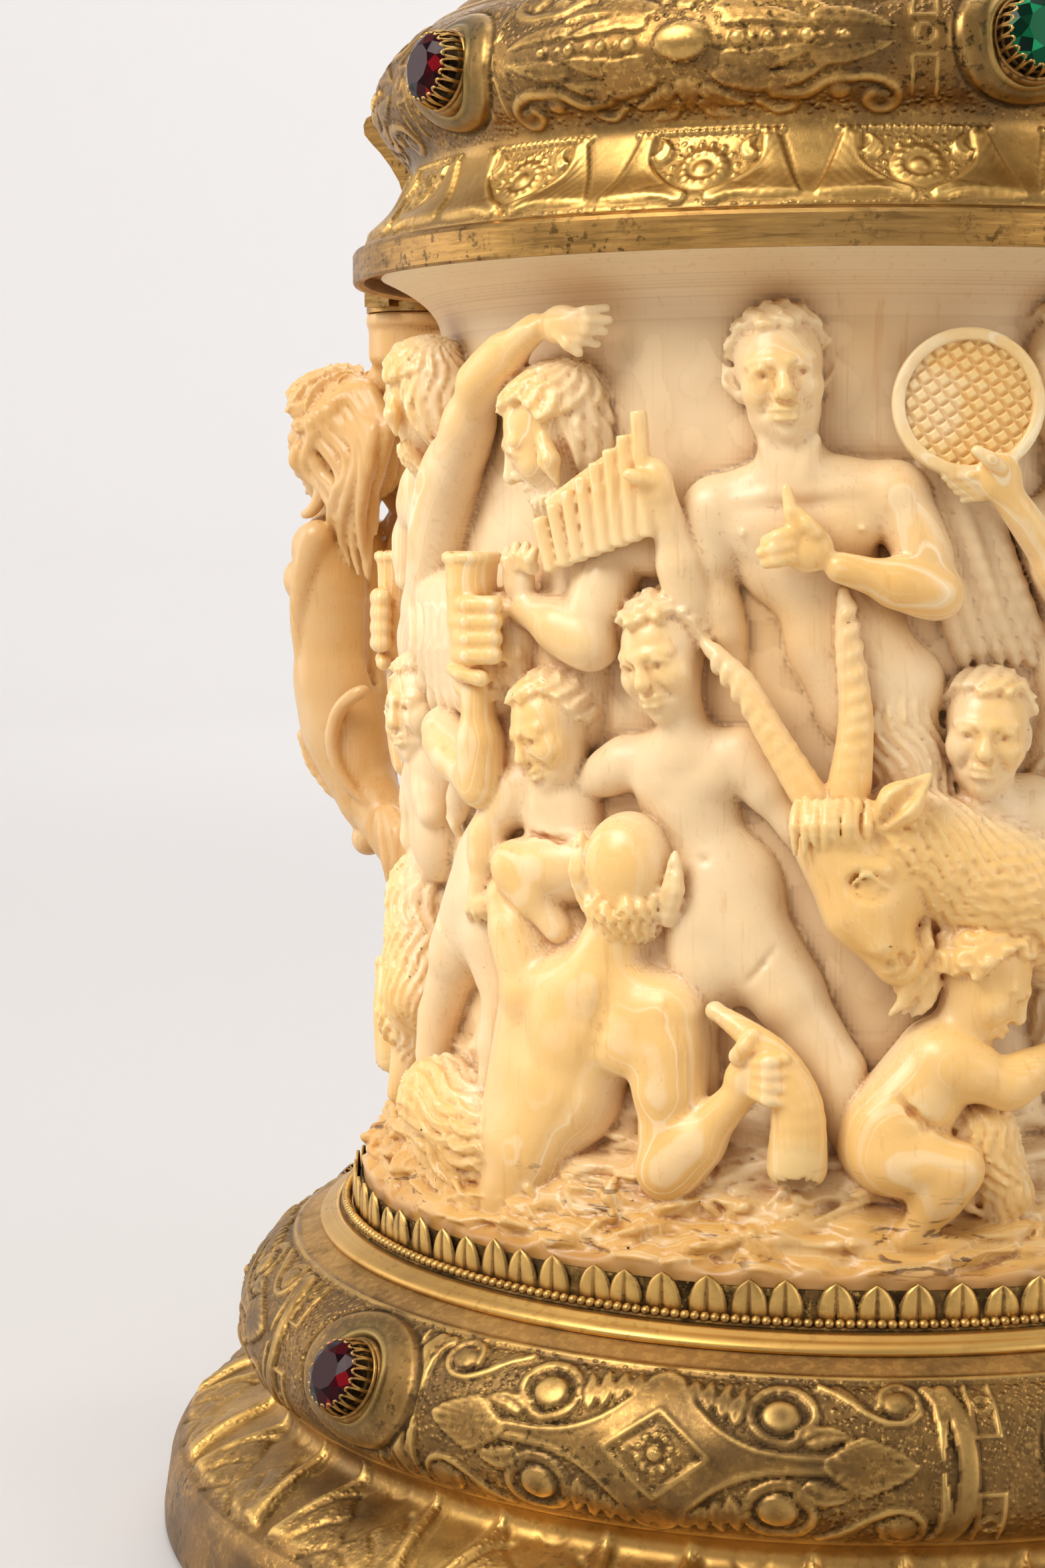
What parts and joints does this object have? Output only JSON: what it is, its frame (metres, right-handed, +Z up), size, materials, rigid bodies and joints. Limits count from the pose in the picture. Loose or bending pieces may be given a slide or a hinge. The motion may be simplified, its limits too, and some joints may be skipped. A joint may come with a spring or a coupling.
{
  "type": "lidded tankard",
  "caption": "Tall lidded tankard: a carved ivory drum on a wide chased gilt foot set with stones, with a carved handle and a hinged, domed, jewelled lid.",
  "frame": {"origin": "centre of the foot's underside", "axes": "+Z up along the drum's axis; the handle and the hinge are at -X, the hinge axis runs along Y"},
  "size_m": [0.1943, 0.1864, 0.2774],
  "materials": {
    "gilt_metal": "worn gilding, chased",
    "dull_gilt": "unpolished",
    "steel": "plain",
    "ivory": "polished, aged",
    "red_glass": "faceted",
    "green_glass": "faceted"
  },
  "bodies": {
    "tankard": {"base_shell": "gilt_metal", "base_cover": "dull_gilt", "cover_lugs": "dull_gilt", "cover_screws": "steel", "drum_seat": "gilt_metal", "bead_ring": "gilt_metal", "leaf_gallery": "gilt_metal", "ivory_drum": "ivory", "liner": "gilt_metal", "tie_stud": "steel", "tie_plate": "dull_gilt", "tie_nut": "steel", "base_collets": "gilt_metal", "base_red_stones": "red_glass", "base_green_stones": "green_glass", "handle": "ivory", "handle_pins": "steel", "hinge_bracket": "gilt_metal", "bracket_screws": "steel", "hinge_pin": "gilt_metal"},
    "lid": {"lid_flange": "gilt_metal", "lid_shell": "gilt_metal", "lid_dome": "gilt_metal", "lid_bezel": "gilt_metal", "lid_lining": "gilt_metal", "lid_collets": "gilt_metal", "lid_red_stones": "red_glass", "lid_green_stones": "green_glass", "finial_socket": "gilt_metal", "finial": "ivory", "finial_stud": "steel", "finial_nut": "steel", "hinge_leaf": "gilt_metal", "thumbpiece": "gilt_metal"}
  },
  "joints": [
    {"name": "lid_hinge", "type": "hinge", "parent": "tankard", "child": "lid", "pos_m": [-0.0745, 0, 0.174], "axis": [0, -1, 0], "range_deg": [0, 95]}
  ]
}
